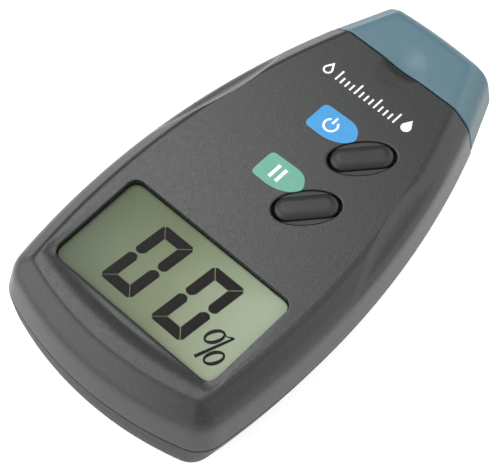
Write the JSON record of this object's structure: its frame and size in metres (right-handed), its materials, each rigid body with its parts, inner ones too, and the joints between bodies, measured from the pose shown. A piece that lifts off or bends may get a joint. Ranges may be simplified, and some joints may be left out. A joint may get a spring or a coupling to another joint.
{
  "type": "moisture meter",
  "caption": "Handheld pin-type moisture meter with a large display window, two slanted rubber keys, a battery bay in the back and a pull-off cap over its probe pins.",
  "frame": {"origin": "on the resting surface, under the middle of the case's bounding box", "axes": "+Y towards the probe pins and their cap, +Z out of the display face, +X to the right seen from the display face"},
  "size_m": [0.07, 0.123, 0.0291],
  "materials": {
    "case_grey": "fine-textured moulded ABS, mid grey",
    "cap_blue": "satin moulded plastic, blue grey",
    "key_rubber": "smooth black silicone rubber",
    "black_plastic": "moulded black plastic",
    "clear_lens": "clear acrylic window",
    "lcd": "grey-green liquid crystal panel",
    "white_plastic": "white moulded plastic",
    "zebra_silicone": "layered conductive silicone",
    "board": "green solder mask",
    "steel": "bright steel",
    "brass": "machined brass",
    "battery_jacket": "printed metal jacket, plain",
    "wire_red": "red insulation",
    "wire_black": "black insulation",
    "wire_blue": "blue insulation",
    "capacitor_sleeve": "shrink sleeve",
    "trimmer_blue": "blue moulded plastic",
    "stem_white": "white moulded plastic"
  },
  "bodies": {
    "case": {"battery": "battery_jacket", "battery_clip": "black_plastic", "battery_lead_black": "wire_black", "battery_lead_red": "wire_red", "battery_terminal_negative": "steel", "battery_terminal_positive": "steel", "board_screw_1": "steel", "board_screw_2": "steel", "board_screw_3": "steel", "board_screw_4": "steel", "calibration_trimmer": "trimmer_blue", "case_screw_1": "steel", "case_screw_2": "steel", "case_screw_3": "steel", "case_screw_4": "steel", "controller_blob": "black_plastic", "display_lens": "clear_lens", "front_shell": "case_grey", "hold_switch": "black_plastic", "key_membrane": "key_rubber", "lcd_frame": "white_plastic", "lcd_panel": "lcd", "main_board": "board", "pin_lead_1": "wire_blue", "pin_lead_2": "wire_blue", "pin_lead_3": "wire_red", "pin_lead_4": "wire_red", "pin_nut_1": "brass", "pin_nut_2": "brass", "pin_nut_3": "brass", "pin_nut_4": "brass", "power_switch": "black_plastic", "probe_head": "black_plastic", "probe_pin_1": "steel", "probe_pin_2": "steel", "probe_pin_3": "steel", "probe_pin_4": "steel", "rear_shell": "case_grey", "smoothing_capacitor": "capacitor_sleeve", "timing_crystal": "steel", "zebra_strip_lower": "zebra_silicone", "zebra_strip_upper": "zebra_silicone"},
    "power_button": {"power_key": "key_rubber", "power_switch_stem": "stem_white"},
    "hold_button": {"hold_key": "key_rubber", "hold_switch_stem": "stem_white"},
    "cap": {"protective_cap": "cap_blue"},
    "door": {"battery_door": "case_grey"}
  },
  "joints": [
    {"name": "power_button_press", "type": "slide", "parent": "case", "child": "power_button", "axis": [0, 0, -1], "range_m": [0, 0.0007], "stiffness_N_per_m": 1500},
    {"name": "hold_button_press", "type": "slide", "parent": "case", "child": "hold_button", "axis": [0, 0, -1], "range_m": [0, 0.0007], "stiffness_N_per_m": 1500},
    {"name": "cap_pull", "type": "slide", "parent": "case", "child": "cap", "axis": [0, 1, 0], "range_m": [0, 0.025]},
    {"name": "door_slide", "type": "slide", "parent": "case", "child": "door", "axis": [0, -1, 0], "range_m": [0, 0.066]}
  ]
}
